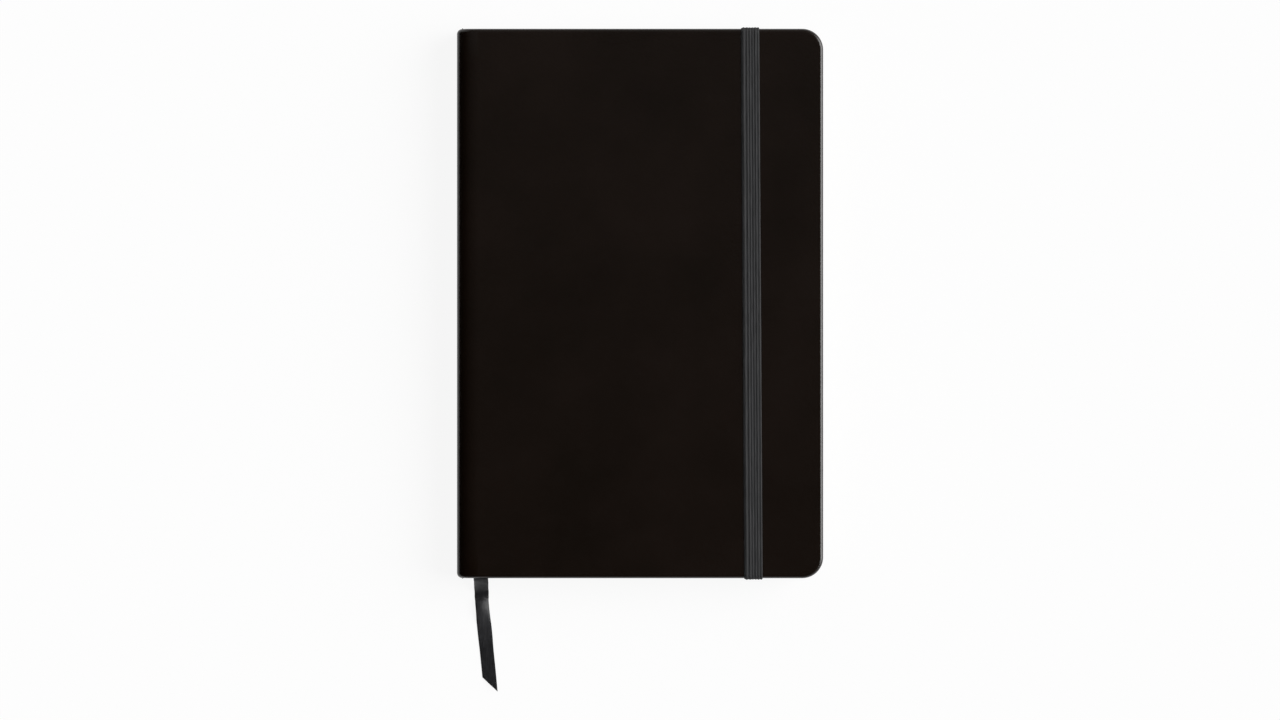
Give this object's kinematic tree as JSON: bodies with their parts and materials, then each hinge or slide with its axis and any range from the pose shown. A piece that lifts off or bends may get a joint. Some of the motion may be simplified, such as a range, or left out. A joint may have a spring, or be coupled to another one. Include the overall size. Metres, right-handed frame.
{
  "type": "sketchbook",
  "caption": "Hardbound sketchbook in black leatherette with rounded fore-edge corners, sewn ivory pages, ribbon marker and a vertical elastic closure band.",
  "frame": {"origin": "middle of the closed book's footprint, on the surface that its back cover lies on", "axes": "+X from the spine to the fore-edge, +Y from the tail to the head, +Z from the back cover to the front cover"},
  "size_m": [0.14, 0.2522, 0.0166],
  "materials": {
    "covering": "satin black leatherette with a very fine grain",
    "board": "matt grey board",
    "endpaper": "smooth cream endpaper",
    "page": "fine-toothed ivory drawing paper",
    "thread": "waxed linen thread",
    "mull": "open starched gauze",
    "lining": "brown kraft paper",
    "end_band": "woven cotton with a rounded bead",
    "ribbon": "woven satin",
    "elastic": "ribbed woven elastic"
  },
  "bodies": {
    "text_block": {"signature_1": "page", "signature_2": "page", "signature_3": "page", "signature_4": "page", "signature_5": "page", "signature_6": "page", "signature_7": "page", "sewing_thread": "thread", "mull_cloth": "mull", "spine_lining": "lining", "head_band": "end_band", "tail_band": "end_band", "ribbon_marker": "ribbon", "ribbon_tail": "ribbon", "spine_strip": "board", "spine_skin": "covering", "front_joint_skin": "covering", "back_joint_skin": "covering", "front_hinge_paper": "endpaper", "back_hinge_paper": "endpaper"},
    "front_cover": {"front_board": "board", "front_skin": "covering", "front_paste_down": "endpaper"},
    "back_cover": {"back_board": "board", "back_skin": "covering", "back_paste_down": "endpaper", "elastic_ends": "elastic"},
    "front_flyleaf": {"front_flyleaf": "endpaper"},
    "first_leaf": {"first_leaf": "page"},
    "second_leaf": {"second_leaf": "page"},
    "back_flyleaf": {"back_flyleaf": "endpaper"},
    "elastic_strap": {"elastic_strap": "elastic"}
  },
  "joints": [
    {"name": "front_cover_hinge", "type": "hinge", "parent": "text_block", "child": "front_cover", "pos_m": [-0.0663, 0, 0.01337], "axis": [0, -1, 0], "range_deg": [0, 179], "deforming": ["front_joint_skin", "front_hinge_paper", "elastic_strap"]},
    {"name": "back_cover_hinge", "type": "hinge", "parent": "text_block", "child": "back_cover", "pos_m": [-0.0663, 0, 0.00263], "axis": [0, 1, 0], "range_deg": [0, 179], "deforming": ["back_joint_skin", "back_hinge_paper"]},
    {"name": "front_flyleaf_hinge", "type": "hinge", "parent": "text_block", "child": "front_flyleaf", "pos_m": [-0.0663, 0, 0.01337], "axis": [0, -1, 0], "range_deg": [0, 179]},
    {"name": "first_leaf_hinge", "type": "hinge", "parent": "text_block", "child": "first_leaf", "pos_m": [-0.0663, 0, 0.01337], "axis": [0, -1, 0], "range_deg": [0, 179]},
    {"name": "second_leaf_hinge", "type": "hinge", "parent": "text_block", "child": "second_leaf", "pos_m": [-0.0663, 0, 0.01337], "axis": [0, -1, 0], "range_deg": [0, 179]},
    {"name": "back_flyleaf_hinge", "type": "hinge", "parent": "text_block", "child": "back_flyleaf", "pos_m": [-0.0663, 0, 0.00263], "axis": [0, 1, 0], "range_deg": [0, 179]},
    {"name": "elastic_slip", "type": "slide", "parent": "back_cover", "child": "elastic_strap", "axis": [0, 0, -1], "range_m": [0, 0.01665]}
  ],
  "couplings": [
    {"joint": "front_flyleaf_hinge", "follows": "front_cover_hinge", "ratio": 0.97},
    {"joint": "first_leaf_hinge", "follows": "front_cover_hinge", "ratio": 0.9},
    {"joint": "second_leaf_hinge", "follows": "front_cover_hinge", "ratio": 0.8},
    {"joint": "back_flyleaf_hinge", "follows": "back_cover_hinge", "ratio": 1},
    {"joint": "elastic_slip", "follows": "front_cover_hinge", "m_per_rad": 0.0053294}
  ]
}
